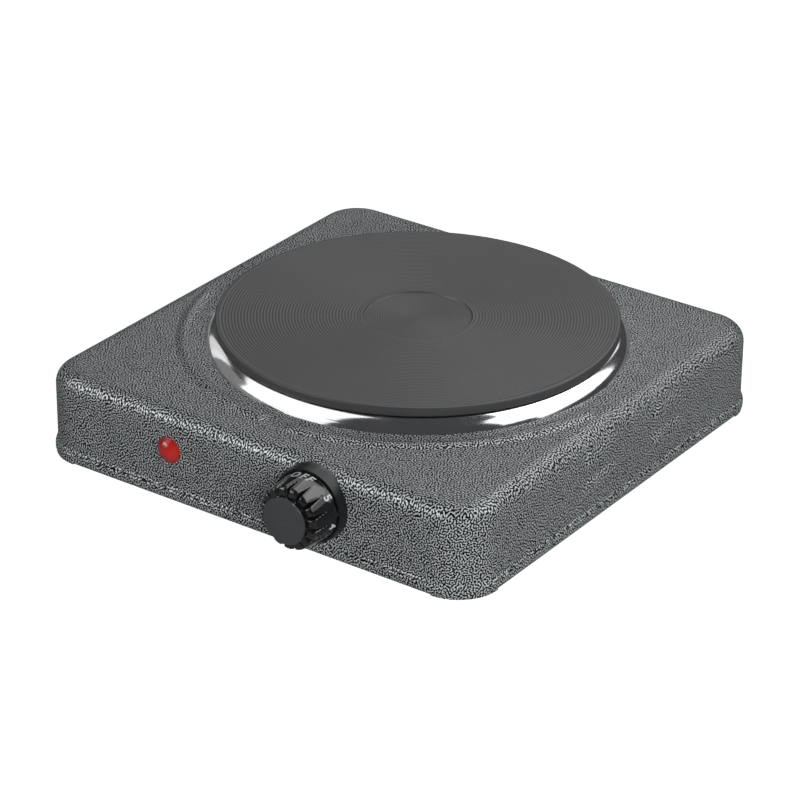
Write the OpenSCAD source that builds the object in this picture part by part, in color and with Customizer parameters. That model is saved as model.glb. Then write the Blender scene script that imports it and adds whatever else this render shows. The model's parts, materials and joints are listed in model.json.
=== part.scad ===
// Single hot plate: a cast-iron cooking plate on a pressed-steel housing,
// with a thermostat dial and a pilot lamp on the front wall.
// Millimetres. +Z is up and the controls face -Y. The origin is on the floor,
// in the middle of the whole object's length and width.

/* [Housing] */
// Width over the rolled rim, left to right
body_w = 238; // [226:1:260]
// Depth over the rolled rim, front to back
body_d = 238; // [232:1:260]
// Height of the deck above the rim's lower edge
deck_h = 42; // [38:0.5:52]
// Thickness of the pressed steel sheet
sheet = 0.8; // [0.6:0.1:1.2]
// Plan radius of the four upright corners, at the rim
corner_r = 21; // [18:1:23]
// Radius of the pressed edge between the deck and the walls
edge_r = 8; // [6:0.5:8.5]
// How far the rolled rim stands out from the walls
rim_proud = 1.2; // [0.8:0.1:2]
// Height of the rolled rim
rim_h = 5; // [4:0.5:6]
// Height of the crease above the rim, on the straight sides
crease_h = 0.7; // [0.5:0.1:1]

/* [Deck beads] */
// Mean radius of the two stiffening beads round the plate
bead_ring_r = 107; // [104:0.5:108]
// Width of a bead
bead_w = 7; // [5:0.5:8]
// Height of a bead over the deck
bead_h = 1.3; // [0.8:0.1:2]
// Half of the gap between the two beads, at the front
bead_gap_deg = 4.5; // [3:0.5:10]
// Angle from the front to the far end of each bead
bead_end_deg = 79; // [60:1:80]

/* [Louvres] */
// Length of a louvre
louvre_len = 28; // [20:1:34]
// How far a louvre stands out of the wall
louvre_proud = 2; // [1.5:0.1:2.5]
// Radius of the louvre's hood
louvre_r = 8; // [7:0.5:9]
// Distance of the upper row of louvres below the deck
louvre_drop = 11.8; // [11:0.2:14]
// Distance between the two rows
louvre_rise = 13.2; // [11:0.2:14]
// Distance between the two columns
louvre_pitch = 55; // [44:1:70]

/* [Hot plate] */
// Diameter of the cast-iron plate
plate_d = 185; // [180:1:187]
// How far the plate's axis lies behind the middle of the housing
plate_back = 10.5; // [6:0.5:12]
// Height of the cooking face above the deck
plate_rise = 10.4; // [9:0.2:13]
// Thickness of the plate's overhanging rim
plate_rim_h = 4; // [3:0.2:5]
// Diameter of the casting under the rim
casting_d = 172; // [166:1:173]
// Depth of the casting under the rim
casting_depth = 13.4; // [12:0.2:14]
// Radius on the plate's outer edges
plate_edge_r = 1; // [0.5:0.1:1.5]
// Diameter of the recess in the middle of the cooking face
recess_d = 50; // [40:1:60]
// Depth of that recess
recess_depth = 0.8; // [0.4:0.1:1.5]

/* [Heating element] */
// Mean radius of the innermost coil groove
coil_first_r = 32; // [28:1:36]
// Distance between neighbouring coil grooves
coil_pitch = 14; // [13:0.5:15]
// Number of coil grooves
coil_count = 4; // [2:1:4]
// Width of a coil groove
groove_w = 9; // [7:0.5:11]
// Depth of a coil groove
groove_depth = 7.5; // [6:0.5:8]
// Diameter of the wound heating coil
coil_d = 4.4; // [3:0.2:5]

/* [Spill ring] */
// Diameter over the ring's lower edge, on the deck
ring_d = 194.6; // [192:0.2:200]
// Thickness of the ring's sheet
ring_sheet = 0.6; // [0.4:0.1:0.8]
// Width of the flange that the plate's rim rests on
ring_flange_w = 3.2; // [2:0.2:4]
// How far the ring's slope bulges out of a straight line
ring_bulge = 1.1; // [0.6:0.1:1.6]

/* [Dial] */
// Distance of the dial's axis to the right of the middle
knob_x = 36.8; // [20:0.2:60]
// Distance of the dial's and the lamp's axes below the deck
control_drop = 17.3; // [17:0.1:18.5]
// Radius of the dial's skirt
skirt_r = 15.9; // [15.4:0.1:16.5]
// Thickness of the skirt's edge
skirt_edge = 0.6; // [0.4:0.1:1]
// Gap between the wall and the skirt's edge
skirt_off = 5; // [4.5:0.1:6]
// Width of the band that bears the figures
band_w = 3.4; // [2.8:0.1:4]
// How far the band tapers in toward the grip
band_taper = 0.4; // [0.2:0.1:0.8]
// Radius between the grip's lobes, at its front
grip_r = 11.3; // [10.8:0.1:12]
// Distance from the wall to the front of the grip
grip_reach = 19.8; // [18:0.2:24]
// Number of lobes on the grip
lobe_count = 15; // [8:1:16]
// Radius over the lobes
lobe_tip_r = 15; // [14:0.1:15]
// Radius of one lobe's round back
lobe_r = 2; // [1.4:0.1:2.2]
// How far the lobes' round ends stop short of the grip's front
lobe_step = 0.4; // [0.2:0.1:1]
// Radius of the cap on the dial's front
cap_r = 10.9; // [10:0.1:11.5]
// Thickness of the cap at its edge
cap_edge = 1.9; // [1.2:0.1:2.4]
// Rise of the cap's domed face
cap_dome = 0.7; // [0.4:0.1:1.2]
// Radius over the bezel, at the wall
bezel_r = 17.7; // [17.4:0.1:18.5]
// How far the bezel stands out of the wall
bezel_h = 4.6; // [4:0.1:5]
// How far the bezel's back reaches over the housing's round edge
bezel_tail = 2; // [0:0.5:3]
// Radius of the thermostat's shaft
shaft_r = 3; // [2.5:0.5:3]

/* [Pilot lamp] */
// Distance of the lamp's axis to the left of the middle
lamp_left = 42.4; // [34:0.2:60]
// Radius of the lens's flange
lens_flange_r = 6.2; // [5.6:0.1:7]
// Radius of the lens's barrel
lens_barrel_r = 4.9; // [4:0.1:5.2]
// How far the lens's dome stands out of the wall
lens_reach = 4.2; // [3:0.1:5]

/* [Base] */
// Height of the rim above the floor
foot_drop = 4; // [3:0.5:8]
// Radius of a foot at the floor
foot_r = 8.5; // [7.5:0.5:9]
// Distance of each foot's axis from the side and front or back of the rim
foot_inset = 27; // [26:1:30]
// Height of the base cover above the rim's lower edge
cover_lift = 1; // [0.5:0.1:2]
// Number of cooling slots in each row of the base cover
slot_count = 7; // [4:1:8]
// Width of a cooling slot
slot_w = 4; // [3:0.5:5]
// Length of a cooling slot
slot_len = 24; // [16:1:30]

/* [Mains entry] */
// Distance of the cord gland from the left side of the rim
gland_inset = 47; // [41:1:55]
// Height of the gland above the rim's lower edge
gland_h = 17; // [15:0.5:22]
// Radius of the gland's bore for the cord
gland_bore_r = 3.6; // [3:0.1:4]
// How far the gland stands out of the rear wall
gland_proud = 4; // [3:0.5:6]

/* [Fits] */
// Radial clearance of the shaft in its bush
running_gap = 0.05; // [0.03:0.01:0.08]
// Radial clearance of screws, studs and inserts in their holes
screw_gap = 0.1; // [0.05:0.05:0.3]
// Clearance between loosely fitted neighbours
loose_gap = 0.4; // [0.3:0.1:0.6]

/* [Hidden] */
$fn = 96;

// A cut passes this far beyond the face that it opens.
through = 1;

// Walls, corners and the whole object's middle
wall_x = body_w / 2 - rim_proud;
wall_y = body_d / 2 - rim_proud;
wall_u = corner_r - rim_proud;
wall_foot_z = rim_h + crease_h + rim_proud;
corner_x = body_w / 2 - corner_r;
corner_y = body_d / 2 - corner_r;
CORNERS = [[1, 1, 0], [-1, 1, 90], [-1, -1, 180], [1, -1, 270]];
dial_reach = grip_reach + cap_edge + cap_dome;
body_shift = (dial_reach - gland_proud) / 2;

// Rim and beads
rim_roll_r = 2.2;
rim_top_r = 0.8;
bead_r = (bead_w * bead_w / 4 + bead_h * bead_h) / (2 * bead_h);
bead_span = bead_end_deg - bead_gap_deg;
bead_side = 1.3;
bead_groove_w = bead_w - 2 * bead_side;
bead_groove_z = deck_h + bead_h - bead_r + sqrt(bead_r * bead_r - pow(bead_groove_w / 2, 2)) - sheet;

// Louvres: the lower row's height, and the hood's height where it leaves the wall
louvre_low_z = deck_h - louvre_drop - louvre_rise;
louvre_end = sqrt(louvre_r * louvre_r - pow(louvre_r - louvre_proud, 2));

// Plate, element and what holds them
plate_r = plate_d / 2;
casting_r = casting_d / 2;
face_z = deck_h + plate_rise;
seat_z = face_z - plate_rim_h;
casting_z = seat_z - casting_depth;
plate_hole_r = casting_r + 3;
ring_r = ring_d / 2;
ring_in_r = casting_r + 1.3;
ring_shoulder_r = ring_in_r + ring_flange_w;
stud_r = 4;
stud_boss_depth = 9;
element_sheet = 0.8;
element_cover_z = casting_z - element_sheet;
terminal_y = -45;
terminal_l = 26;
terminal_w = 12;
terminal_h = 10;
pin_x = 8;
pin_r = 1.5;
pin_len = 4;
pin_end_z = casting_z - terminal_h - pin_len;
bridge_sheet = 1.5;
bridge_w = 24;
bridge_top_z = deck_h - sheet;
bridge_web_z = casting_z - 6;
bridge_reach = plate_hole_r + 12;
bridge_leg_x = plate_hole_r + 2;
bridge_flange = 5;
washer_r = 8.5;
washer_h = 1.6;
nut_flat = 13;
plate_nut_h = 6.5;
shield_nut_h = 4;
nut_top_z = bridge_web_z - washer_h;
shield_top_z = nut_top_z - plate_nut_h;
shield_sheet = 0.8;
shield_drop = 6;
shield_r = 76;
shield_rim_h = 4.5;
shield_low_z = shield_top_z - shield_drop;
stud_end_z = shield_top_z - shield_sheet - shield_nut_h - 1.5;

// Dial
control_h = deck_h - control_drop;
neck_r = cap_r - 0.9;
neck_h = 0.6;
bush_r = 5;
bush_proud = 2;
dial_hub_r = 5.6;
dial_hub_off = bush_proud + 0.8;
dial_wall = 1.6;
shaft_tip = 15;
shaft_flat = 1.5;
bezel_wall = 0.9;
bezel_floor = 1;
bezel_draft = 0.5;

// Thermostat, behind the front wall
inner_y = wall_y - sheet;
thermo_plate_t = 1.2;
thermo_plate_w = 34;
thermo_plate_h = 18;
thermo_body_w = 32;
thermo_body_h = 17;
thermo_body_d = 15;
thermo_screw_x = 11.5;
thermo_screw_r = 1.5;
thermo_screw_len = 7;
collar_r = 4.3;
collar_h = 1.5;
shaft_tail = 12;
thermo_tab_pitch = 10;
tab_w = 6.3;
tab_t = 0.8;
tab_len = 8;
tab_y = -inner_y + thermo_plate_t + thermo_body_d + tab_len;
post_d = 5;
post_h = 3.4;
strip_w = 8;
strip_t = 0.6;
strip_len = 13;

// Lamp
lens_flange_t = 0.9;
lens_dome_r = 5.6;
lens_barrel_len = 11;
lens_wall = 1;
neon_r = lens_barrel_r - lens_wall - screw_gap;
neon_end = 18;
clip_r = 7.4;
clip_t = 0.8;

// Base
cover_top_z = cover_lift + sheet;
cover_w = body_w - 2 * (rim_proud + sheet + loose_gap);
cover_d = body_d - 2 * (rim_proud + sheet + loose_gap);
cover_corner_r = corner_r - rim_proud - sheet - loose_gap;
foot_x = body_w / 2 - foot_inset;
foot_y = body_d / 2 - foot_inset;
foot_top_r = foot_r + 1.5;
foot_well_r = 4.4;
foot_well_h = 3;
base_screw_r = 1.9;
bracket_t = 1.2;
bracket_w = 2 * (foot_inset - corner_r - screw_gap);
bracket_rise = 12;
bracket_pad = 8;
slot_pitch = 11;
slot_row_y = 38;

// Mains entry
gland_x = gland_inset - body_w / 2;
gland_flange_r = 9;
gland_flange_t = 2;
gland_barrel_r = 6.4;
gland_barrel_len = 11;
gland_nut_t = 4;
block_l = 38;
block_w = 16;
block_h = 12;
block_step = 3;
block_inset = 43;
block_y = inner_y - block_inset;
clamp_pitch = 12;
clamp_r = 2.9;
clamp_bore_r = 2.1;
clamp_z = cover_top_z + 5.5;
block_screw_head_r = 1.4 * base_screw_r;
earth_off = 34;
earth_inset = 17;
earth_x = gland_x + earth_off;
earth_y = inner_y - earth_inset;
wire_r = 1.2;
lead_r = 0.6;
wire_sides = 12;
wire_in = 4;
wire_bend = 6;
wire_off = 9;
under_shield = shield_low_z - shield_sheet - cover_top_z;
run_z = cover_top_z + 0.49 * under_shield;
lead_z = cover_top_z + 0.86 * under_shield;
lead_off = 1.6;

// Colours
paint = [0.42, 0.43, 0.44];
cast_iron = [0.34, 0.34, 0.35];
stainless = [0.80, 0.80, 0.80];
zinc = [0.66, 0.67, 0.68];
ceramic_white = [0.90, 0.88, 0.84];
magnesia = [0.80, 0.76, 0.70];
brass = [0.78, 0.62, 0.30];
black_gloss = [0.07, 0.07, 0.08];
black_matt = [0.20, 0.20, 0.21];
rubber = [0.10, 0.10, 0.10];
lens_red = [0.80, 0.12, 0.10];

// ---------- shared shapes ----------

// Everything is drawn round the middle of the housing, with z = 0 at the rim's lower edge.
module in_place() {
  translate([0, body_shift, foot_drop]) children();
}

// Moves to a point of the front wall. The children's z axis points out of the wall.
module on_front(x, z) {
  translate([x, -wall_y, z]) rotate([90, 0, 0]) children();
}

// Moves to a point of the rear wall. The children's z axis points out of the wall.
module on_rear(x, z) {
  translate([x, wall_y, z]) rotate([-90, 0, 0]) children();
}

// A round hole or rod along z, from one height to another.
module rod(r, z0, z1) {
  translate([0, 0, z0]) cylinder(r = r, h = z1 - z0);
}

// A ring along z.
module tube(r_out, r_in, z0, z1) {
  difference() {
    rod(r_out, z0, z1);
    rod(r_in, z0 - through, z1 + through);
  }
}

// A hexagon nut along z, sized across its flats.
module hex_nut(flat, bore_r, z0, z1) {
  difference() {
    translate([0, 0, z0]) cylinder(d = flat / cos(30), h = z1 - z0, $fn = 6);
    rod(bore_r, z0 - through, z1 + through);
  }
}

// A box with its middle at x and y, and its faces at two heights.
module block(size_x, size_y, z0, z1) {
  translate([-size_x / 2, -size_y / 2, z0]) cube([size_x, size_y, z1 - z0]);
}

// A rectangle with round corners.
module rounded_plan(w, d, r) {
  square([w - 2 * r, d], center = true);
  square([w, d - 2 * r], center = true);
  for (sx = [-1, 1], sy = [-1, 1]) translate([sx * (w / 2 - r), sy * (d / 2 - r)]) circle(r);
}

// A screw with a domed head. The head sits on z = 0 and the shank points down.
module pan_screw(r, head_r, head_h, len) {
  rod(r, -len, 0);
  intersection() {
    rod(head_r, 0, head_h);
    translate([0, 0, head_h - 2 * head_r]) sphere(2 * head_r);
  }
}

// A vector's direction, at length 1.
function unit(v) = v / norm(v);

// Slides each point of a ring along a direction, to the plane through a point.
function slid(ring, dir, at, normal) = [for (p = ring) p + dir * ((at - p) * normal) / (dir * normal)];

// The rings of a swept wire from point i on. Each bend's ring lies in its mitre plane.
function rings_on(points, ring, i) =
  let (
    dir = unit(points[i] - points[i - 1]),
    onward = i == len(points) - 1 ? dir : unit(points[i + 1] - points[i]),
    next = slid(ring, dir, points[i], unit(dir + onward))
  )
  i == len(points) - 1 ? [next] : concat([next], rings_on(points, next, i + 1));

// A wire with mitred bends through a list of points. Its section has wire_sides sides.
module wire_along(points, r) {
  dir = unit(points[1] - points[0]);
  side = unit(abs(dir[2]) < 0.9 ? cross(dir, [0, 0, 1]) : cross(dir, [1, 0, 0]));
  up = cross(dir, side);
  first = [
    for (k = [0:wire_sides - 1]) let (a = k * 360 / wire_sides) points[0] + r * (side * cos(a) + up * sin(a))
  ];
  rings = concat([first], rings_on(points, first, 1));
  n = wire_sides;
  last = len(rings) - 1;
  polyhedron(
    points = [for (ring = rings) each ring],
    faces = concat(
      [[for (k = [0:n - 1]) k]],
      [for (i = [0:last - 1], k = [0:n - 1])
        [i * n + k, (i + 1) * n + k, (i + 1) * n + (k + 1) % n, i * n + (k + 1) % n]],
      [[for (k = [n - 1:-1:0]) last * n + k]]
    )
  );
}

// ---------- housing ----------

// Half section through wall and deck, set in from the outside by one distance.
// x is the distance from the corner's axis and y is the height.
module wall_section(inset) {
  square([wall_u - inset, deck_h - edge_r]);
  square([wall_u - edge_r, deck_h - inset]);
  translate([wall_u - edge_r, deck_h - edge_r]) circle(edge_r - inset);
}

// The rolled rim: a tight roll below and a small round above.
module rim_section() {
  square([corner_r - rim_roll_r, rim_h]);
  translate([0, rim_roll_r]) square([corner_r - rim_top_r, rim_h - rim_roll_r]);
  translate([0, rim_roll_r]) square([corner_r, rim_h - rim_roll_r - rim_top_r]);
  translate([corner_r - rim_roll_r, rim_roll_r]) circle(rim_roll_r);
  translate([corner_r - rim_top_r, rim_h - rim_top_r]) circle(rim_top_r);
}

// The wall's hollow foot, where it sweeps out above the crease.
module foot_section() {
  translate([0, rim_h + crease_h]) difference() {
    square([corner_r - rim_top_r / 2, rim_proud]);
    translate([wall_u + rim_proud, rim_proud]) circle(rim_proud);
  }
}

// The sheet's section. A straight side has the crease and a corner has it filled.
module shell_section(creased) {
  difference() {
    union() {
      wall_section(0);
      rim_section();
      foot_section();
      if (!creased) square([corner_r - rim_top_r / 2, rim_h + crease_h]);
    }
    difference() {
      translate([0, -through]) square([wall_u - sheet, deck_h]);
      difference() {
        translate([0, -through]) square([wall_u, deck_h + through]);
        wall_section(sheet);
        translate([0, -2 * through]) square([wall_u - sheet, deck_h - edge_r]);
      }
    }
    wall_section(sheet);
  }
}

// The pressed shell: four revolved corners, four straight sides and the deck.
module shell() {
  for (c = CORNERS)
    translate([c[0] * corner_x, c[1] * corner_y, 0])
      rotate(c[2]) rotate_extrude(angle = 90) shell_section(false);
  for (turn = [0, 180]) {
    rotate(turn) translate([corner_x, 0, 0]) rotate([90, 0, 0])
      linear_extrude(2 * corner_y, center = true) shell_section(true);
    rotate(turn + 90) translate([corner_y, 0, 0]) rotate([90, 0, 0])
      linear_extrude(2 * corner_x, center = true) shell_section(true);
  }
  block(2 * corner_x, 2 * corner_y, deck_h - sheet, deck_h);
}

// Section of a deck bead.
module bead_section() {
  intersection() {
    translate([0, deck_h + bead_h - bead_r]) circle(bead_r);
    translate([-bead_w, deck_h - sheet]) square([2 * bead_w, bead_h + sheet]);
  }
}

// Turns about the plate's axis so that each bead starts on the x axis.
module at_beads() {
  for (side = [-1, 1])
    translate([0, plate_back, 0]) rotate(-90 + side * (bead_gap_deg + bead_span / 2) - bead_span / 2)
      children();
}

// The beads: two arcs round the plate's axis, with domed ends.
module beads() {
  at_beads() {
    rotate_extrude(angle = bead_span) translate([bead_ring_r, 0]) bead_section();
    for (end = [0, 1])
      rotate(end * bead_span) translate([bead_ring_r, 0, 0]) rotate(180 - end * 180)
        rotate_extrude(angle = 180) intersection() {
          bead_section();
          square([2 * bead_w, 2 * deck_h]);
        }
  }
}

// The grooves that the press leaves under the beads.
module bead_grooves() {
  floor_z = deck_h - 2 * sheet;
  at_beads() rotate_extrude(angle = bead_span) translate([bead_ring_r - bead_groove_w / 2, floor_z])
    square([bead_groove_w, bead_groove_z - floor_z]);
}

// One louvre's form on the right wall: the upper half of a lying capsule.
module louvre_form(inset) {
  straight = louvre_len - 2 * louvre_end;
  intersection() {
    translate([wall_x - louvre_r + louvre_proud, 0, 0]) {
      rotate([90, 0, 0]) cylinder(r = louvre_r - inset, h = straight, center = true);
      for (side = [-1, 1]) translate([0, side * straight / 2, 0]) sphere(louvre_r - inset);
    }
    translate([wall_x - sheet - inset, -louvre_len, 0]) cube([louvre_r, 2 * louvre_len, louvre_r]);
  }
}

// Puts a louvre at each of its places on both side walls.
module at_louvres() {
  for (side = [0, 1], column = [-1, 1], row = [0, 1])
    mirror([side, 0, 0])
      translate([0, plate_back + column * louvre_pitch / 2, louvre_low_z + row * louvre_rise])
        children();
}

module housing() {
  color(paint) difference() {
    union() {
      shell();
      beads();
      at_louvres() louvre_form(0);
    }
    bead_grooves();
    at_louvres() louvre_form(sheet);
    translate([0, plate_back, 0]) rod(plate_hole_r, deck_h - 2 * sheet, deck_h + through);
    on_front(knob_x, control_h) {
      rod(bush_r + loose_gap, -2 * sheet, through);
      for (side = [-1, 1])
        translate([side * thermo_screw_x, 0, 0]) rod(thermo_screw_r + screw_gap, -2 * sheet, through);
    }
    on_front(-lamp_left, control_h) rod(lens_barrel_r + screw_gap, -2 * sheet, through);
    on_rear(gland_x, gland_h) rod(gland_barrel_r + screw_gap, -2 * sheet, through);
  }
}

// ---------- cooking plate ----------

// The spill ring's slope: a slice of two circles about one middle.
module ring_slope() {
  run = ring_r - ring_shoulder_r;
  fall = seat_z - deck_h;
  chord = norm([run, fall]);
  slope_r = (chord * chord / 4 + ring_bulge * ring_bulge) / (2 * ring_bulge);
  back = slope_r - ring_bulge;
  middle = [ring_shoulder_r + run / 2 - back * fall / chord, deck_h + fall / 2 - back * run / chord];
  intersection() {
    translate(middle) difference() {
      circle(slope_r);
      circle(slope_r - ring_sheet);
    }
    translate([ring_shoulder_r, deck_h]) square([run + ring_bulge, fall]);
  }
}

module trim_ring() {
  color(stainless) translate([0, plate_back, 0]) rotate_extrude() {
    ring_slope();
    translate([ring_in_r, seat_z - ring_sheet]) square([ring_flange_w, ring_sheet]);
  }
}

// Puts a shape in the plate's section at each coil groove's radius.
module at_grooves() {
  for (i = [0:coil_count - 1]) translate([coil_first_r + i * coil_pitch, casting_z]) children();
}

module hot_plate() {
  side = recess_depth * 1.5;
  color(cast_iron) translate([0, plate_back, 0]) rotate_extrude() difference() {
    union() {
      translate([0, seat_z]) square([plate_r - plate_edge_r, plate_rim_h]);
      translate([0, seat_z + plate_edge_r / 2])
        square([plate_r, plate_rim_h - 1.5 * plate_edge_r]);
      translate([plate_r - plate_edge_r, face_z - plate_edge_r]) circle(plate_edge_r);
      translate([plate_r - plate_edge_r / 2, seat_z + plate_edge_r / 2]) circle(plate_edge_r / 2);
      translate([0, seat_z]) square([plate_r - plate_edge_r / 2, plate_edge_r]);
      translate([0, casting_z]) square([casting_r, casting_depth]);
    }
    polygon([
      [-through, face_z - recess_depth], [recess_d / 2 - side, face_z - recess_depth],
      [recess_d / 2, face_z], [recess_d / 2, face_z + through], [-through, face_z + through]
    ]);
    translate([-through, casting_z - through])
      square([through + stud_r + screw_gap, through + stud_boss_depth]);
    at_grooves() translate([-groove_w / 2, -through]) square([groove_w, groove_depth + through]);
  }
}

module heating_coils() {
  color(zinc) translate([0, plate_back, 0]) rotate_extrude() at_grooves()
    translate([0, groove_depth / 2]) circle(d = coil_d);
}

module coil_filling() {
  color(magnesia) translate([0, plate_back, 0]) rotate_extrude() at_grooves() difference() {
    translate([-groove_w / 2 + screw_gap, 0])
      square([groove_w - 2 * screw_gap, groove_depth - screw_gap]);
    translate([0, groove_depth / 2]) circle(d = coil_d + screw_gap);
  }
}

// The sheet lid that closes the grooves, with a turned-down edge.
module element_cover() {
  color(zinc) translate([0, plate_back, 0]) difference() {
    union() {
      tube(casting_r - 2, stud_r + screw_gap, element_cover_z, casting_z);
      tube(casting_r - 2, casting_r - 2 - element_sheet, element_cover_z - 2, casting_z);
    }
    translate([0, terminal_y, 0])
      block(terminal_l + loose_gap, terminal_w + loose_gap, element_cover_z - through, face_z);
  }
}

module element_terminal() {
  color(ceramic_white) translate([0, plate_back + terminal_y, 0]) difference() {
    union() {
      block(terminal_l, terminal_w, casting_z - terminal_h, casting_z);
      for (side = [-1, 1])
        translate([side * pin_x, 0, 0]) rod(pin_r + 2, casting_z - terminal_h - 1, casting_z);
    }
    for (side = [-1, 1])
      translate([side * pin_x, 0, 0])
        rod(pin_r + screw_gap, casting_z - terminal_h - 2, casting_z + through);
  }
}

module element_pins() {
  color(zinc) translate([0, plate_back + terminal_y, 0])
    for (side = [-1, 1]) translate([side * pin_x, 0, 0]) rod(pin_r, pin_end_z, casting_z);
}

module centre_stud() {
  color(zinc) translate([0, plate_back, 0])
    rod(stud_r, stud_end_z, casting_z + stud_boss_depth - screw_gap);
}

// The pressed strap that pulls the plate down on the deck.
module mounting_bridge() {
  color(zinc) translate([0, plate_back, 0]) difference() {
    union() {
      block(2 * bridge_leg_x, bridge_w, bridge_web_z, bridge_web_z + bridge_sheet);
      for (side = [-1, 1]) {
        translate([side * (bridge_leg_x - bridge_sheet / 2), 0, 0])
          block(bridge_sheet, bridge_w, bridge_web_z, bridge_top_z);
        translate([side * (bridge_reach + bridge_leg_x - bridge_sheet) / 2, 0, 0])
          block(bridge_reach - bridge_leg_x + bridge_sheet, bridge_w, bridge_top_z - bridge_sheet,
            bridge_top_z);
        translate([0, side * (bridge_w - bridge_sheet) / 2, 0])
          block(2 * bridge_leg_x, bridge_sheet, bridge_web_z - bridge_flange, bridge_web_z);
      }
    }
    rod(stud_r + screw_gap, bridge_web_z - through, bridge_web_z + 2 * bridge_sheet);
  }
}

module stud_washer() {
  color(zinc) translate([0, plate_back, 0])
    tube(washer_r, stud_r + screw_gap, nut_top_z, bridge_web_z);
}

module stud_nuts() {
  color(zinc) translate([0, plate_back, 0]) {
    hex_nut(nut_flat, stud_r + screw_gap, shield_top_z, nut_top_z);
    hex_nut(nut_flat, stud_r + screw_gap, shield_top_z - shield_sheet - shield_nut_h,
      shield_top_z - shield_sheet);
  }
}

// The dished sheet that keeps the plate's heat off the wiring and the base.
module heat_shield() {
  hub_r = 15;
  slope_end_r = 27;
  rim_z = shield_low_z + shield_rim_h;
  color(zinc) translate([0, plate_back, 0]) rotate_extrude() polygon([
    [stud_r + screw_gap, shield_top_z], [hub_r, shield_top_z], [slope_end_r, shield_low_z],
    [shield_r - shield_sheet, shield_low_z], [shield_r - shield_sheet, rim_z], [shield_r, rim_z],
    [shield_r, shield_low_z - shield_sheet],
    [slope_end_r - shield_sheet / 2, shield_low_z - shield_sheet],
    [hub_r - shield_sheet / 2, shield_top_z - shield_sheet],
    [stud_r + screw_gap, shield_top_z - shield_sheet]
  ]);
}

// ---------- base ----------

// Repeats something at the four feet, turned so that +x points to the near side wall.
module at_feet() {
  for (sx = [-1, 1], sy = [-1, 1]) translate([sx * foot_x, sy * foot_y, 0]) rotate(sx < 0 ? 180 : 0)
    children();
}

module bottom_cover() {
  color(zinc) difference() {
    translate([0, 0, cover_lift]) linear_extrude(sheet)
      rounded_plan(cover_w, cover_d, cover_corner_r);
    at_feet() rod(base_screw_r + screw_gap, 0, cover_top_z + through);
    for (row = [-1, 1], i = [0:slot_count - 1])
      translate([(i - (slot_count - 1) / 2) * slot_pitch, row * slot_row_y, 0]) {
        block(slot_w, slot_len - slot_w, 0, cover_top_z + through);
        for (end = [-1, 1])
          translate([0, end * (slot_len - slot_w) / 2, 0]) rod(slot_w / 2, 0, cover_top_z + through);
      }
    for (side = [-1, 1])
      translate([gland_x + side * clamp_pitch / 2, block_y, 0])
        rod(base_screw_r + screw_gap, 0, cover_top_z + through);
    translate([earth_x, earth_y, 0]) rod(base_screw_r + screw_gap, 0, cover_top_z + through);
  }
}

// Angle pieces, welded inside the side walls, that the base screws bite in.
module corner_brackets() {
  reach = wall_x - sheet - foot_x;
  color(zinc) at_feet() difference() {
    union() {
      translate([(reach - bracket_pad) / 2, 0, 0])
        block(reach + bracket_pad, bracket_w, cover_top_z, cover_top_z + bracket_t);
      translate([reach - bracket_t / 2, 0, 0])
        block(bracket_t, bracket_w, cover_top_z, cover_top_z + bracket_rise);
    }
    rod(base_screw_r + screw_gap, 0, cover_top_z + bracket_t + through);
  }
}

module feet() {
  color(rubber) at_feet() difference() {
    translate([0, 0, -foot_drop])
      cylinder(r1 = foot_r, r2 = foot_top_r, h = foot_drop + cover_lift);
    rod(foot_well_r, -foot_drop - through, -foot_drop + foot_well_h);
    rod(base_screw_r + screw_gap, -foot_drop, cover_lift + through);
  }
}

module base_screws() {
  head_h = foot_well_h - 1;
  color(zinc) at_feet() translate([0, 0, -foot_drop + foot_well_h]) rotate([180, 0, 0])
    pan_screw(base_screw_r, foot_well_r - loose_gap, head_h,
      foot_drop - foot_well_h + cover_top_z + bracket_t + 3);
}

// ---------- dial ----------

// A round bar or bore with one flat side.
module d_section(r) {
  intersection() {
    circle(r);
    translate([-r, -r]) square([2 * r, r + shaft_flat + (r - shaft_r)]);
  }
}

// The dial: a skirt, a band for the figures and a tapered grip with round lobes. Its back
// is hollow round the hub.
module knob() {
  band_start = skirt_off + skirt_edge;
  band_end = band_start + band_w;
  lobe_end = grip_reach - lobe_step - lobe_r;
  color(black_gloss) on_front(knob_x, control_h) difference() {
    union() {
      rotate_extrude() polygon([
        [0, skirt_off], [skirt_r, skirt_off], [skirt_r, band_start],
        [skirt_r - band_taper, band_end], [grip_r, grip_reach], [0, grip_reach]
      ]);
      for (i = [0:lobe_count - 1]) rotate((i + 0.5) * 360 / lobe_count)
        translate([0, lobe_tip_r - lobe_r, 0]) {
          rod(lobe_r, band_start, lobe_end);
          translate([0, 0, lobe_end]) sphere(lobe_r);
        }
    }
    difference() {
      rotate_extrude() polygon([
        [0, skirt_off - through], [skirt_r - dial_wall, skirt_off - through],
        [skirt_r - band_taper - dial_wall, band_end],
        [grip_r - dial_wall, grip_reach - 2 * dial_wall], [0, grip_reach - 2 * dial_wall]
      ]);
      rod(dial_hub_r, skirt_off - 2 * through, grip_reach);
    }
    translate([0, 0, skirt_off - 2 * through])
      linear_extrude(shaft_tip + loose_gap - skirt_off + 2 * through)
        d_section(shaft_r + running_gap);
  }
}

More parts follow.
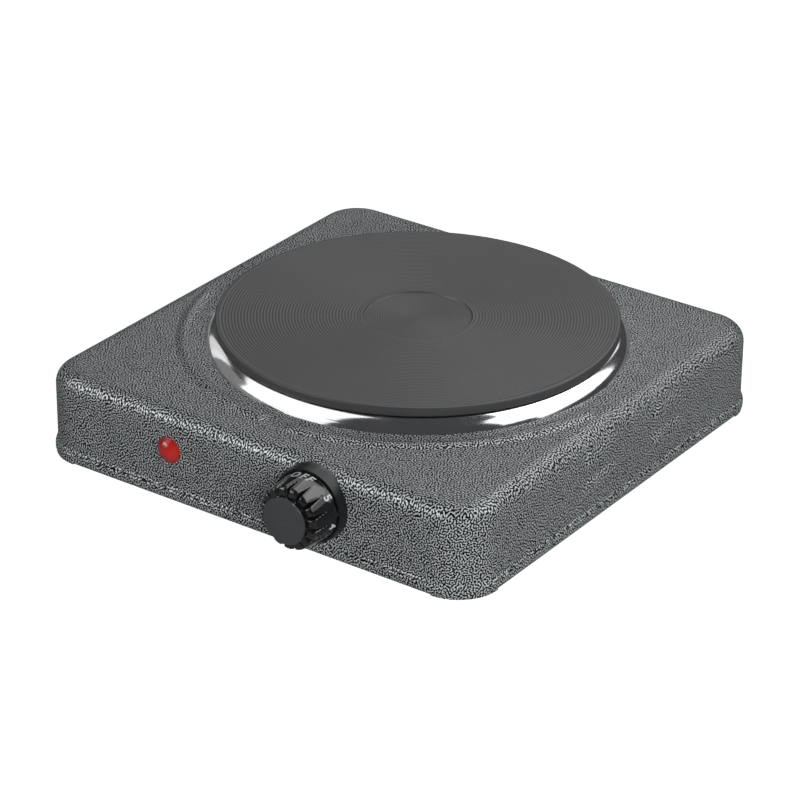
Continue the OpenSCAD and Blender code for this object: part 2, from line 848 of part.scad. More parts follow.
// The cap: a neck that leaves a shadow gap, and a disc with a domed face.
module knob_cap() {
  dome_r = (cap_r * cap_r + cap_dome * cap_dome) / (2 * cap_dome);
  round_r = 0.5;
  color(black_matt) on_front(knob_x, control_h) {
    rod(neck_r, grip_reach, grip_reach + neck_h);
    intersection() {
      translate([0, 0, grip_reach + neck_h]) rotate_extrude() {
        square([cap_r - round_r, cap_edge - neck_h + cap_dome]);
        translate([0, round_r]) square([cap_r, cap_edge - neck_h - round_r + cap_dome]);
        translate([cap_r - round_r, round_r]) circle(round_r);
      }
      translate([0, 0, dial_reach - dome_r]) sphere(dome_r, $fn = 200);
    }
  }
}

// The bezel: a tapered cup round the dial. Its back follows the housing's round edge,
// and it ends above the wall's hollow foot.
module knob_bezel() {
  front_r = bezel_r - bezel_draft;
  color(black_matt) difference() {
    on_front(knob_x, control_h) difference() {
      union() {
        cylinder(r1 = bezel_r, r2 = front_r, h = bezel_h);
        rod(bezel_r, -bezel_tail, 0);
      }
      rod(front_r - bezel_wall, bezel_floor, bezel_h + through);
      rod(bezel_r - bezel_wall - bezel_floor, -bezel_tail - through, 0);
      rod(bush_r + loose_gap, -through, bezel_h);
      for (side = [-1, 1])
        translate([side * thermo_screw_x, 0, 0])
          rod(thermo_screw_r + screw_gap, -through, bezel_h);
    }
    translate([-body_w / 2, -wall_y, 0]) cube([body_w, wall_y, deck_h - edge_r]);
    translate([-body_w / 2, -body_d, 0]) cube([body_w, body_d, wall_foot_z]);
    translate([-body_w / 2, -wall_y + edge_r, 0]) cube([body_w, wall_y, deck_h]);
    translate([0, -wall_y + edge_r, deck_h - edge_r]) rotate([0, 90, 0])
      cylinder(r = edge_r, h = body_w, center = true);
  }
}

module thermostat_shaft() {
  color(zinc) on_front(knob_x, control_h) {
    rod(shaft_r, -sheet - shaft_tail, dial_hub_off);
    translate([0, 0, dial_hub_off]) linear_extrude(shaft_tip - dial_hub_off) d_section(shaft_r);
    rod(collar_r, -sheet - thermo_plate_t - running_gap - collar_h,
      -sheet - thermo_plate_t - running_gap);
  }
}

// ---------- thermostat ----------

// The mounting plate with its bush, held to the front wall by two screws.
module thermostat_plate() {
  color(zinc) on_front(knob_x, control_h) difference() {
    union() {
      block(thermo_plate_w, thermo_plate_h, -sheet - thermo_plate_t, -sheet);
      rod(bush_r, -sheet - thermo_plate_t, bush_proud);
    }
    rod(shaft_r + running_gap, -2 * sheet - thermo_plate_t, bush_proud + through);
    for (side = [-1, 1])
      translate([side * thermo_screw_x, 0, 0])
        rod(thermo_screw_r + screw_gap, -2 * sheet - thermo_plate_t, through);
  }
}

// The moulded block that carries the contacts, with a post for the two strips.
module thermostat_body() {
  front = -sheet - thermo_plate_t;
  color(black_matt) on_front(knob_x, control_h) difference() {
    union() {
      block(thermo_body_w, thermo_body_h, front - thermo_body_d, front);
      translate([0, (thermo_body_h + post_h) / 2, 0])
        block(strip_w + 4, post_h, front - thermo_body_d, front - thermo_body_d + post_d);
    }
    rod(shaft_r + loose_gap, -sheet - shaft_tail - loose_gap, front + through);
    rod(collar_r + loose_gap, front - collar_h - loose_gap, front + through);
    for (side = [-1, 1])
      translate([side * thermo_screw_x, 0, 0]) rod(thermo_screw_r + screw_gap, front - thermo_screw_len, through);
  }
}

// Both strips start at the post and reach forward over the block.
module thermostat_strip(lift, len) {
  front = -sheet - thermo_plate_t - thermo_body_d + post_d;
  on_front(knob_x, control_h)
    translate([0, thermo_body_h / 2 + lift + strip_t / 2, 0])
      block(strip_w, strip_t, front, front + len);
}

module bimetal_strip() {
  color(brass) thermostat_strip(2.4, strip_len - 5);
}

module contact_spring() {
  color(brass) thermostat_strip(1, strip_len - 5);
}

module thermostat_terminals() {
  back = -sheet - thermo_plate_t - thermo_body_d;
  color(brass) on_front(knob_x, control_h) for (i = [-1, 0, 1])
    translate([i * thermo_tab_pitch, 0, 0]) block(tab_w, tab_t, back - tab_len, back);
}

module thermostat_screws() {
  color(zinc) on_front(knob_x, control_h) for (side = [-1, 1])
    translate([side * thermo_screw_x, 0, bezel_floor])
      pan_screw(thermo_screw_r, 1.9 * thermo_screw_r, 1.1 * thermo_screw_r, thermo_screw_len);
}

// ---------- pilot lamp ----------

module lamp_lens() {
  dome_h = lens_reach - lens_flange_t;
  dome_r = (lens_dome_r * lens_dome_r + dome_h * dome_h) / (2 * dome_h);
  color(lens_red) on_front(-lamp_left, control_h) difference() {
    union() {
      rotate_extrude() {
        square([lens_flange_r - lens_flange_t / 2, lens_flange_t]);
        translate([lens_flange_r - lens_flange_t / 2, lens_flange_t / 2]) circle(lens_flange_t / 2);
      }
      rod(lens_barrel_r, -lens_barrel_len, 0);
      intersection() {
        rod(lens_dome_r, 0, lens_reach);
        translate([0, 0, lens_reach - dome_r]) sphere(dome_r);
      }
    }
    rod(lens_barrel_r - lens_wall, -lens_barrel_len - through, lens_flange_t);
  }
}

// The neon insert and its two end wires' stub.
module lamp_body() {
  color(ceramic_white) on_front(-lamp_left, control_h) {
    rod(neon_r, -neon_end, lens_flange_t - loose_gap);
  }
}

module lamp_clip() {
  teeth = 6;
  color(zinc) on_front(-lamp_left, control_h) difference() {
    tube(clip_r, lens_barrel_r + screw_gap, -sheet - clip_t, -sheet);
    for (i = [0:teeth - 1]) rotate(i * 360 / teeth)
      translate([lens_barrel_r, 0, 0]) block(2, 1.2, -sheet - 2 * clip_t, through);
  }
}

module lamp_leads() {
  start_y = -wall_y + neon_end;
  bend_y = start_y + wire_bend;
  turn_y = start_y + 1.5 * wire_bend;
  tip_y = block_y - block_w / 2 + wire_in;
  clamp_x = gland_x + clamp_bore_r - wire_r + lead_r / 2;
  color("white") {
    wire_along([
      [-lamp_left + lead_off, start_y, control_h], [-lamp_left + lead_off, bend_y, control_h],
      [-lamp_left + lead_off, turn_y, lead_z], [knob_x, tab_y + wire_bend, lead_z],
      [knob_x, tab_y + 0.6 * wire_bend, control_h], [knob_x, tab_y, control_h]
    ], lead_r);
    wire_along([
      [-lamp_left - lead_off, start_y, control_h], [-lamp_left - lead_off, bend_y, control_h],
      [-lamp_left - lead_off, turn_y, lead_z], [0.78 * gland_x, plate_back - 0.4 * shield_r, lead_z],
      [gland_x + wire_off, tip_y - 6 * wire_bend, run_z],
      [clamp_x, tip_y - 1.5 * wire_bend, clamp_z], [clamp_x, tip_y, clamp_z]
    ], lead_r);
  }
}

// ---------- mains entry ----------

module cable_gland() {
  color(black_matt) on_rear(gland_x, gland_h) difference() {
    union() {
      rod(gland_flange_r, 0, gland_flange_t);
      translate([0, 0, gland_flange_t])
        cylinder(r1 = gland_flange_r - 1.6, r2 = gland_flange_r - 2.6, h = gland_proud - gland_flange_t);
      rod(gland_barrel_r, -gland_barrel_len, 0);
    }
    rod(gland_bore_r, -gland_barrel_len - through, gland_proud + through);
  }
}

module gland_nut() {
  color(black_matt) on_rear(gland_x, gland_h)
    hex_nut(2 * gland_flange_r - 2, gland_barrel_r + screw_gap, -sheet - gland_nut_t, -sheet);
}

// Repeats something at each clamp of the terminal block, along y.
module at_clamps() {
  for (i = [-1, 0, 1])
    translate([gland_x + i * clamp_pitch, block_y, clamp_z]) rotate([90, 0, 0]) children();
}

module terminal_block() {
  color(ceramic_white) difference() {
    union() {
      translate([gland_x, block_y, 0])
        block(block_l, block_w, cover_top_z, cover_top_z + block_h - block_step);
      for (i = [-1, 0, 1])
        translate([gland_x + i * clamp_pitch, block_y, 0])
          block(clamp_pitch - block_step, block_w, cover_top_z, cover_top_z + block_h);
    }
    at_clamps() rod(clamp_r + screw_gap, -block_w, block_w);
    for (side = [-1, 1])
      translate([gland_x + side * clamp_pitch / 2, block_y, 0]) {
        rod(base_screw_r + screw_gap, 0, cover_top_z + block_h);
        rod(block_screw_head_r + screw_gap, cover_top_z + block_h - block_step, deck_h);
      }
  }
}

module terminal_clamps() {
  color(brass) at_clamps() tube(clamp_r, clamp_bore_r, -block_w / 2, block_w / 2);
}

module block_screws() {
  color(zinc) for (side = [-1, 1])
    translate([gland_x + side * clamp_pitch / 2, block_y, cover_top_z + block_h - block_step])
      pan_screw(base_screw_r, block_screw_head_r, 1.8, block_h - 1);
}

module earth_screw() {
  color(brass) translate([earth_x, earth_y, cover_top_z]) pan_screw(base_screw_r, 4, 2.4, 3);
}

// ---------- wiring ----------

// A point beside the heat shield's edge, in a direction from the plate's axis.
function by_shield(turn, z) =
  [(shield_r + wire_off) * cos(turn), plate_back + (shield_r + wire_off) * sin(turn), z];

module wire_live() {
  x = gland_x - clamp_pitch;
  tab_x = knob_x - thermo_tab_pitch;
  color("brown") wire_along([
    [x, block_y - block_w / 2 + wire_in, clamp_z], [x, plate_back - 0.4 * shield_r, clamp_z],
    by_shield(250, run_z), [tab_x, tab_y + 1.5 * wire_bend, run_z + wire_in],
    [tab_x, tab_y + wire_bend, control_h], [tab_x, tab_y, control_h]
  ], wire_r);
}

module wire_switched() {
  tab_x = knob_x + thermo_tab_pitch;
  end = [pin_x, plate_back + terminal_y, pin_end_z];
  color("saddlebrown") wire_along([
    [tab_x, tab_y, control_h], [tab_x, tab_y + wire_bend, control_h],
    [tab_x - wire_bend, tab_y + 2 * wire_bend, control_h + 2 * wire_r],
    end + [wire_off, -wire_off, 0], end + [0, 0, -pin_len], end
  ], wire_r);
}

module wire_neutral() {
  x = gland_x - wire_r + lead_r / 2;
  end = [-pin_x, plate_back + terminal_y, pin_end_z];
  color("steelblue") wire_along([
    [x, block_y - block_w / 2 + wire_in, clamp_z], [x, plate_back - 0.27 * shield_r, clamp_z],
    by_shield(224, clamp_z + wire_in), by_shield(231, control_h + wire_r),
    end + [-wire_off, -wire_off, 0], end + [0, 0, -pin_len], end
  ], wire_r);
}

module wire_earth() {
  x = gland_x + clamp_pitch;
  end_y = block_y - block_w / 2;
  color("yellowgreen") wire_along([
    [x, end_y + wire_in, clamp_z], [x, end_y - wire_off, clamp_z],
    [earth_x - wire_off, end_y - wire_off, clamp_z], [earth_x, end_y + wire_bend, clamp_z],
    [earth_x, earth_y, clamp_z + wire_r], [earth_x, earth_y, cover_top_z + 2 * wire_r]
  ], wire_r);
}

in_place() housing();
in_place() trim_ring();
in_place() hot_plate();
in_place() heating_coils();
in_place() coil_filling();
in_place() element_cover();
in_place() element_terminal();
in_place() element_pins();
in_place() centre_stud();
in_place() mounting_bridge();
in_place() stud_washer();
in_place() stud_nuts();
in_place() heat_shield();
in_place() bottom_cover();
in_place() corner_brackets();
in_place() feet();
in_place() base_screws();
in_place() knob();
in_place() knob_cap();
in_place() knob_bezel();
in_place() thermostat_shaft();
in_place() thermostat_plate();
in_place() thermostat_body();
in_place() bimetal_strip();
in_place() contact_spring();
in_place() thermostat_terminals();
in_place() thermostat_screws();
in_place() lamp_lens();
in_place() lamp_body();
in_place() lamp_clip();
in_place() lamp_leads();
in_place() cable_gland();
in_place() gland_nut();
in_place() terminal_block();
in_place() terminal_clamps();
in_place() block_screws();
in_place() earth_screw();
in_place() wire_live();
in_place() wire_switched();
in_place() wire_neutral();
in_place() wire_earth();
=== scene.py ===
# %% [markdown]
# # A single hot plate
#
# The object is a free-standing electric hot plate: a turned cast-iron plate on a square pressed-steel
# housing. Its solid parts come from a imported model, which stays as it is. This file gives every
# part its finish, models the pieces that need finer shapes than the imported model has, and sets up the
# floor, the lights and the camera. Everything is in metres, with +Z up and the controls facing -Y.
# Sizes that were chosen here have names in capitals, and what follows from them or from the packed
# model has a name in small letters.

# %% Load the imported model
import json
import math

import bpy
from mathutils import Matrix, Vector


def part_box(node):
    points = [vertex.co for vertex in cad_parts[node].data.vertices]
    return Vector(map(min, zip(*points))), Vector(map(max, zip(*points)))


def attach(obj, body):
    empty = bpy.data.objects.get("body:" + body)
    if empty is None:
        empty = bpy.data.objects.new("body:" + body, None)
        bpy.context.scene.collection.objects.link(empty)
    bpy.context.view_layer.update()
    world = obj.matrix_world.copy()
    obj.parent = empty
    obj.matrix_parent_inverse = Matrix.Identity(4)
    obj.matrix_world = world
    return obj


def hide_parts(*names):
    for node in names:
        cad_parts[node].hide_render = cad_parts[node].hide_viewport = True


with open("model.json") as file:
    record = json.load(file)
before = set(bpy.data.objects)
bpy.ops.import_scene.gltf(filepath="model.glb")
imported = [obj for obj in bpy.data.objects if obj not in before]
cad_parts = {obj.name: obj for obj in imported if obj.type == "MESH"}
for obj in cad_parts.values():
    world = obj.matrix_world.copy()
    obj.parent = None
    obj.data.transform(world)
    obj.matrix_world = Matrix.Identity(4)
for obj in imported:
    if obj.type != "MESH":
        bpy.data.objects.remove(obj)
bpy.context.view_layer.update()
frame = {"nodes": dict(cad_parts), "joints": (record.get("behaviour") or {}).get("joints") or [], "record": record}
nodes = frame["nodes"]
MM = 0.001

# %% [markdown]
# The camera stands about a metre and a half away and looks down on the front right corner with a long
# lens, as in a catalogue. A wide lens from nearby would also frame the object, but it would make the
# near corner loom. The camera's place follows from two angles and a distance round the point that it
# looks at. It leans by half a degree, which the roll takes care of. An 800 pixel wide frame and the
# lens's focal length in pixels give the focal length in millimetres.

# %% Camera
FRAME_PX = 800
FOCAL_PX = 3510.7
SENSOR_MM = 36
AZIMUTH_DEG, ELEVATION_DEG, ROLL_DEG = 35.290, 27.288, 0.475
DISTANCE = 1.57078
LOOKS_AT = Vector((0.0173, -0.01836, 0.034))
azimuth, elevation, roll = (math.radians(a) for a in (AZIMUTH_DEG, ELEVATION_DEG, ROLL_DEG))

back = Vector((math.sin(azimuth) * math.cos(elevation), -math.cos(azimuth) * math.cos(elevation),
               math.sin(elevation)))
level = Vector((math.cos(azimuth), math.sin(azimuth), 0))
upward = back.cross(level)
right = level * math.cos(roll) + upward * math.sin(roll)
above = upward * math.cos(roll) - level * math.sin(roll)

camera_data = bpy.data.cameras.new("catalogue_camera")
camera_data.sensor_width = SENSOR_MM
camera_data.lens = FOCAL_PX / FRAME_PX * SENSOR_MM
camera_data.clip_start = 0.1
camera = bpy.data.objects.new("catalogue_camera", camera_data)
bpy.context.scene.collection.objects.link(camera)
turn = Matrix((right, above, back)).transposed().to_4x4()
camera.matrix_world = Matrix.Translation(LOOKS_AT + back * DISTANCE) @ turn
bpy.context.scene.camera = camera
print("lens in mm:", round(camera_data.lens, 1))

# %% [markdown]
# Two small helpers keep the material cells short. A Finish starts a material with a Principled shader,
# adds nodes to it and links them. dress() puts a finished material on a part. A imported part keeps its
# mesh, and only the material in its slot changes.

# %% Material helpers
finishes = {}


class Finish:
    """A material under construction: its nodes, its links and its Principled shader."""

    def __init__(self, name):
        self.material = bpy.data.materials.new(name)
        self.material.use_nodes = True
        self.tree = self.material.node_tree
        self.shader = self.tree.nodes["Principled BSDF"]
        finishes[name] = self.material

    def add(self, kind, inputs=None, **settings):
        """Adds a node, sets its properties, and fills its inputs with values or links."""
        node = self.tree.nodes.new("ShaderNode" + kind)
        for key, value in settings.items():
            setattr(node, key, value)
        for key, value in (inputs or {}).items():
            self.feed(node.inputs[key], value)
        return node

    def feed(self, socket, value):
        """Sets a socket, or links it if the value is another node's output."""
        if isinstance(value, bpy.types.NodeSocket):
            self.tree.links.new(value, socket)
        else:
            socket.default_value = value

    def surface(self, **inputs):
        """Fills inputs of the Principled shader. Underscores in a name stand for spaces."""
        for key, value in inputs.items():
            self.feed(self.shader.inputs[key.replace("_", " ")], value)


def dress(part, name):
    """Gives a part one of the finished materials."""
    part.data.materials.clear()
    part.data.materials.append(finishes[name])


# %% [markdown]
# Every real surface has a fine grain: moulding texture, plating, casting skin. Each material could draw
# its own, but the nodes would be the same every time, so one node group makes the grain for them all.
# It reads the part's own coordinates, so the grain has a real size, and puts out a roughness that
# wanders between two values, a height for a bump and a slow tone for the colour.

# %% Fine grain, shared by most materials
def sockets(group, direction, names):
    """Adds float sockets to a node group, with their starting values."""
    for name, value in names.items():
        socket = group.interface.new_socket(name, in_out=direction, socket_type="NodeSocketFloat")
        if value is not None:
            socket.default_value = value


grain_group = bpy.data.node_groups.new("fine_grain", "ShaderNodeTree")
sockets(grain_group, "INPUT", {"Grain Size": 0.0005, "Low Roughness": 0.4, "High Roughness": 0.5,
                               "Patch Size": 0.02})
sockets(grain_group, "OUTPUT", {"Roughness": None, "Height": None, "Tone": None})


def grain_node(kind, inputs=None, **settings):
    """Adds a node to the grain group, with its properties and fixed inputs."""
    node = grain_group.nodes.new(kind)
    for key, value in settings.items():
        setattr(node, key, value)
    for key, value in (inputs or {}).items():
        node.inputs[key].default_value = value
    return node


entry = grain_node("NodeGroupInput")
leave = grain_node("NodeGroupOutput")
place = grain_node("ShaderNodeTexCoord")
grain_scale = grain_node("ShaderNodeMath", {0: 1}, operation="DIVIDE")
patch_scale = grain_node("ShaderNodeMath", {0: 1}, operation="DIVIDE")
grain_noise = grain_node("ShaderNodeTexNoise", {"Detail": 3})
patch_noise = grain_node("ShaderNodeTexNoise", {"Detail": 4, "Roughness": 0.6})
blend_tone = grain_node("ShaderNodeMath", {1: 0.3}, operation="MULTIPLY_ADD")
spread = grain_node("ShaderNodeMapRange", {"From Min": 0.4, "From Max": 0.9})
for source, target in (
    (entry.outputs["Grain Size"], grain_scale.inputs[1]),
    (entry.outputs["Patch Size"], patch_scale.inputs[1]),
    (place.outputs["Object"], grain_noise.inputs["Vector"]),
    (place.outputs["Object"], patch_noise.inputs["Vector"]),
    (grain_scale.outputs[0], grain_noise.inputs["Scale"]),
    (patch_scale.outputs[0], patch_noise.inputs["Scale"]),
    (grain_noise.outputs["Fac"], blend_tone.inputs[0]),
    (patch_noise.outputs["Fac"], blend_tone.inputs[2]),
    (blend_tone.outputs[0], spread.inputs["Value"]),
    (entry.outputs["Low Roughness"], spread.inputs["To Min"]),
    (entry.outputs["High Roughness"], spread.inputs["To Max"]),
    (spread.outputs["Result"], leave.inputs["Roughness"]),
    (grain_noise.outputs["Fac"], leave.inputs["Height"]),
    (patch_noise.outputs["Fac"], leave.inputs["Tone"]),
):
    grain_group.links.new(source, target)


def grained(name, colour, darker, roughness, grain, bump, patch=0.02, metallic=0.0, **more):
    """A material whose colour, roughness and bump come from the fine grain."""
    f = Finish(name)
    skin = f.add("Group", node_tree=grain_group)
    for key, value in (("Grain Size", grain), ("Patch Size", patch), ("Low Roughness", roughness[0]),
                       ("High Roughness", roughness[1])):
        skin.inputs[key].default_value = value
    tint = f.add("Mix", data_type="RGBA")
    f.feed(tint.inputs["Factor"], skin.outputs["Tone"])
    tint.inputs[6].default_value = (*darker, 1)
    tint.inputs[7].default_value = (*colour, 1)
    relief = f.add("Bump", {"Strength": 1.0, "Distance": bump, "Height": skin.outputs["Height"]})
    f.surface(Base_Color=tint.outputs[2], Roughness=skin.outputs["Roughness"], Normal=relief.outputs[0],
              Metallic=metallic, **more)
    return f


# %% [markdown]
# The housing has a hammertone enamel. Aluminium flakes float in a dark resin and gather in short silver
# worms, about a millimetre and a quarter apart, with dark channels between them. An ordinary noise would
# give blots of many sizes. A flat Gabor noise has waves of one length in every direction, so it draws
# such a maze when it is cut off near its middle value. It needs flat coordinates that follow the sheet.
# On the deck they are X and Y. On the walls they are the way round the housing and the height. The way
# round comes from the nearest point of the square on which the round corners are centred: it adds that
# point's place on the square to the corner's arc. The silver stands slightly higher, and a thin clear
# coat gives the pressed edges their bright lines.

# %% Hammertone enamel
WORM_PERIOD = 1.25 * MM
WORM_WANDER = 0.3 * MM
WORM_HEIGHT = 0.04 * MM
SILVER_FROM, SILVER_FULL = 0.50, 0.55  # values of the noise at a worm's edge and inside it
WAVES = 1.6  # waves in one cell of the noise
CORNER_R = 21 * MM
DECK_EDGE = 2.3 * MM
shell_low, shell_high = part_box("housing")
shell_middle = ((shell_low.x + shell_high.x) / 2, (shell_low.y + shell_high.y) / 2, 0)
corner_at = (shell_high.y - shell_low.y) / 2 - CORNER_R

paint = Finish("hammertone_enamel")


def calc(operation, *values):
    """A Math node of the paint, and its output."""
    return paint.add("Math", dict(enumerate(values)), operation=operation).outputs[0]


place = paint.add("TexCoord")
shell = paint.add("VectorMath", {0: place.outputs["Object"], 1: shell_middle}, operation="SUBTRACT")
axes = paint.add("SeparateXYZ", {"Vector": shell.outputs[0]})
near = [paint.add("Clamp", {"Value": axes.outputs[key], "Min": -corner_at, "Max": corner_at}).outputs[0]
        for key in "XY"]
off = [calc("SUBTRACT", axes.outputs[key], point) for key, point in zip("XY", near)]
arc = calc("MULTIPLY", calc("ARCTAN2", calc("ADD", *off), calc("SUBTRACT", *off)), CORNER_R)
way_round = calc("ADD", arc, calc("ADD", *near))
reach = calc("SQRT", calc("ADD", calc("POWER", off[0], 2.0), calc("POWER", off[1], 2.0)))
on_wall = calc("GREATER_THAN", reach, CORNER_R - DECK_EDGE)
wall_place = paint.add("CombineXYZ", {"X": way_round, "Y": axes.outputs["Z"]})
sheet = paint.add("Mix", {0: on_wall, 4: shell.outputs[0], 5: wall_place.outputs[0]}, data_type="VECTOR")
ragged = paint.add("TexNoise", {"Vector": place.outputs["Object"], "Scale": 0.9 / MM, "Detail": 0.0})
wander = paint.add("VectorMath", {0: ragged.outputs["Color"], 1: (0.5, 0.5, 0.5)}, operation="SUBTRACT")
push = paint.add("VectorMath", {0: wander.outputs[0], "Scale": WORM_WANDER}, operation="SCALE")
moved = paint.add("VectorMath", {0: sheet.outputs[1], 1: push.outputs[0]}, operation="ADD")
worms = paint.add("TexGabor", {"Vector": moved.outputs[0], "Scale": 1 / (WORM_PERIOD * WAVES),
                               "Frequency": WAVES, "Anisotropy": 0.0}, gabor_type="2D")
silver = paint.add("MapRange", {"Value": worms.outputs["Value"], "From Min": SILVER_FROM,
                                "From Max": SILVER_FULL}, interpolation_type="SMOOTHSTEP")
patches = paint.add("TexNoise", {"Vector": place.outputs["Object"], "Scale": 140.0, "Detail": 3.0})
dark = paint.add("Mix", {"Factor": patches.outputs["Fac"], 6: (0.003, 0.004, 0.005, 1),
                         7: (0.008, 0.010, 0.011, 1)}, data_type="RGBA")
light = paint.add("Mix", {"Factor": ragged.outputs["Fac"], 6: (0.54, 0.58, 0.59, 1),
                          7: (0.84, 0.89, 0.90, 1)}, data_type="RGBA")
colour = paint.add("Mix", {"Factor": silver.outputs["Result"], 6: dark.outputs[2], 7: light.outputs[2]},
                   data_type="RGBA")
metal = paint.add("MapRange", {"Value": silver.outputs["Result"], "To Min": 0.0, "To Max": 0.12})
rough = paint.add("MapRange", {"Value": silver.outputs["Result"], "To Min": 0.5, "To Max": 0.4})
relief = paint.add("Bump", {"Strength": 1.0, "Distance": WORM_HEIGHT, "Height": worms.outputs["Value"]})
paint.surface(Base_Color=colour.outputs[2], Metallic=metal.outputs["Result"],
              Roughness=rough.outputs["Result"], Normal=relief.outputs[0], Coat_Weight=0.12,
              Coat_Roughness=0.12, Specular_IOR_Level=0.1)

# %% [markdown]
# The plate is turned cast iron with a black baked coating. The turning marks that the eye can see are
# modelled further down as real grooves, and their floors are painted darker than the ridges: painted
# shade that deepens them. A wave along the radius paints that shade, in step with the grooves. Between
# them the tool leaves much finer rings, which come from a noise along the radius.

# %% Turned and blackened iron
plate_low, plate_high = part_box("hot_plate")
plate_axis = Vector(((plate_low.x + plate_high.x) / 2, (plate_low.y + plate_high.y) / 2, 0))
plate_r = (plate_high.x - plate_low.x) / 2
GROOVE_PITCH = 1.435 * MM
CENTRE_PITCH = 1.09 * MM
RECESS_R = 25 * MM
RECESS_SLOPE = 0.6 * MM
FACE_ZONE_FROM = 27 * MM
PLAIN_EDGE = 2.5 * MM
PLAIN_MIDDLE = 0.8 * MM
face_zone = (FACE_ZONE_FROM, plate_r - PLAIN_EDGE, GROOVE_PITCH)
centre_zone = (PLAIN_MIDDLE, RECESS_R - RECESS_SLOPE, CENTRE_PITCH)

iron = Finish("blackened_iron")
place = iron.add("TexCoord")
centred = iron.add("Mapping", {"Vector": place.outputs["Object"], "Location": tuple(-plate_axis)})
flat = iron.add("VectorMath", {0: centred.outputs[0], 1: (1, 1, 0)}, operation="MULTIPLY")
radius = iron.add("VectorMath", {0: flat.outputs[0]}, operation="LENGTH").outputs["Value"]


def painted_groove_shade(r_from, r_to, pitch):
    """A wave along the radius, high on the ridges and low in the grooves of one zone: painted groove shade."""
    per_metre = 2 * math.pi * round((r_to - r_from) / pitch) / (r_to - r_from)
    turns = iron.add("Math", {0: radius, 1: per_metre, 2: -per_metre * r_from}, operation="MULTIPLY_ADD")
    return iron.add("Math", {0: turns.outputs[0]}, operation="COSINE").outputs[0]


# The wave below paints shade into the groove floors and keeps the ridges lighter.
outside = iron.add("Math", {0: radius, 1: RECESS_R}, operation="GREATER_THAN")
groove_shade_wave = iron.add("Mix", {"Factor": outside.outputs[0], 2: painted_groove_shade(*centre_zone),
                           3: painted_groove_shade(*face_zone)}, data_type="FLOAT")
along = iron.add("CombineXYZ", {"X": radius})
rings = iron.add("TexNoise", {"Vector": along.outputs[0], "Scale": 3200.0, "Detail": 3.0})
skin = iron.add("TexNoise", {"Vector": place.outputs["Object"], "Scale": 1500.0, "Detail": 4.0})
cloud = iron.add("TexNoise", {"Vector": place.outputs["Object"], "Scale": 30.0, "Detail": 4.0})
height = iron.add("Math", {0: rings.outputs["Fac"], 1: skin.outputs["Fac"]}, operation="ADD")
relief = iron.add("Bump", {"Strength": 1.0, "Distance": 0.012 * MM, "Height": height.outputs[0]})
ridge = iron.add("MapRange", {"Value": groove_shade_wave.outputs[0], "From Min": -1.0, "To Min": 0.0,
                              "To Max": 0.8})
share = iron.add("Math", {0: cloud.outputs["Fac"], 1: 0.2, 2: ridge.outputs["Result"]},
                 operation="MULTIPLY_ADD")
tint = iron.add("Mix", {"Factor": share.outputs[0], 6: (0.036, 0.037, 0.039, 1),
                        7: (0.134, 0.135, 0.138, 1)}, data_type="RGBA")
rough = iron.add("MapRange", {"Value": skin.outputs["Fac"], "To Min": 0.44, "To Max": 0.58})
iron.surface(Base_Color=tint.outputs[2], Metallic=0.25, Roughness=rough.outputs["Result"],
             Normal=relief.outputs[0])

# %% [markdown]
# The spill ring is polished stainless steel. A mirror needs little: a high metallic value, a low
# roughness and a few faint polishing lines that run round the ring. What it shows comes from the lamps
# and the dark corners of the studio round it.

# %% Polished stainless steel
steel = Finish("polished_stainless")
place = steel.add("TexCoord")
centred = steel.add("Mapping", {"Vector": place.outputs["Object"], "Location": tuple(-plate_axis)})
flat = steel.add("VectorMath", {0: centred.outputs[0], 1: (1, 1, 0)}, operation="MULTIPLY")
radius = steel.add("VectorMath", {0: flat.outputs[0]}, operation="LENGTH")
along = steel.add("CombineXYZ", {"X": radius.outputs["Value"]})
lines = steel.add("TexNoise", {"Vector": along.outputs[0], "Scale": 6000.0, "Detail": 2.0})
smudge = steel.add("TexNoise", {"Vector": place.outputs["Object"], "Scale": 60.0, "Detail": 3.0})
rough = steel.add("MapRange", {"Value": smudge.outputs["Fac"], "From Min": 0.3, "From Max": 0.7,
                               "To Min": 0.08, "To Max": 0.14})
relief = steel.add("Bump", {"Strength": 1.0, "Distance": 0.0006 * MM, "Height": lines.outputs["Fac"]})
tone = steel.add("Mix", {"Factor": smudge.outputs["Fac"], 6: (0.80, 0.80, 0.81, 1),
                         7: (0.86, 0.86, 0.87, 1)}, data_type="RGBA")
steel.surface(Base_Color=tone.outputs[2], Metallic=1.0, Roughness=rough.outputs["Result"],
              Normal=relief.outputs[0])

# %% [markdown]
# The remaining finishes all build on the fine grain. The dial is glossy black thermoset, its cap and
# bezel are matt mouldings, and the metal parts inside are plated, rolled or stamped. Each row gives the
# colour, its darker patches, the range of the roughness, the size of the grain and the bump's height.

# %% Plastics, rubber and ceramics
grained("glossy_black", (0.014, 0.014, 0.016), (0.009, 0.009, 0.010), (0.06, 0.10), 0.6 * MM,
        0.0015 * MM, Coat_Weight=0.2, Coat_Roughness=0.05)
grained("matt_dark_grey", (0.080, 0.084, 0.089), (0.066, 0.069, 0.074), (0.26, 0.36), 0.25 * MM,
        0.010 * MM)
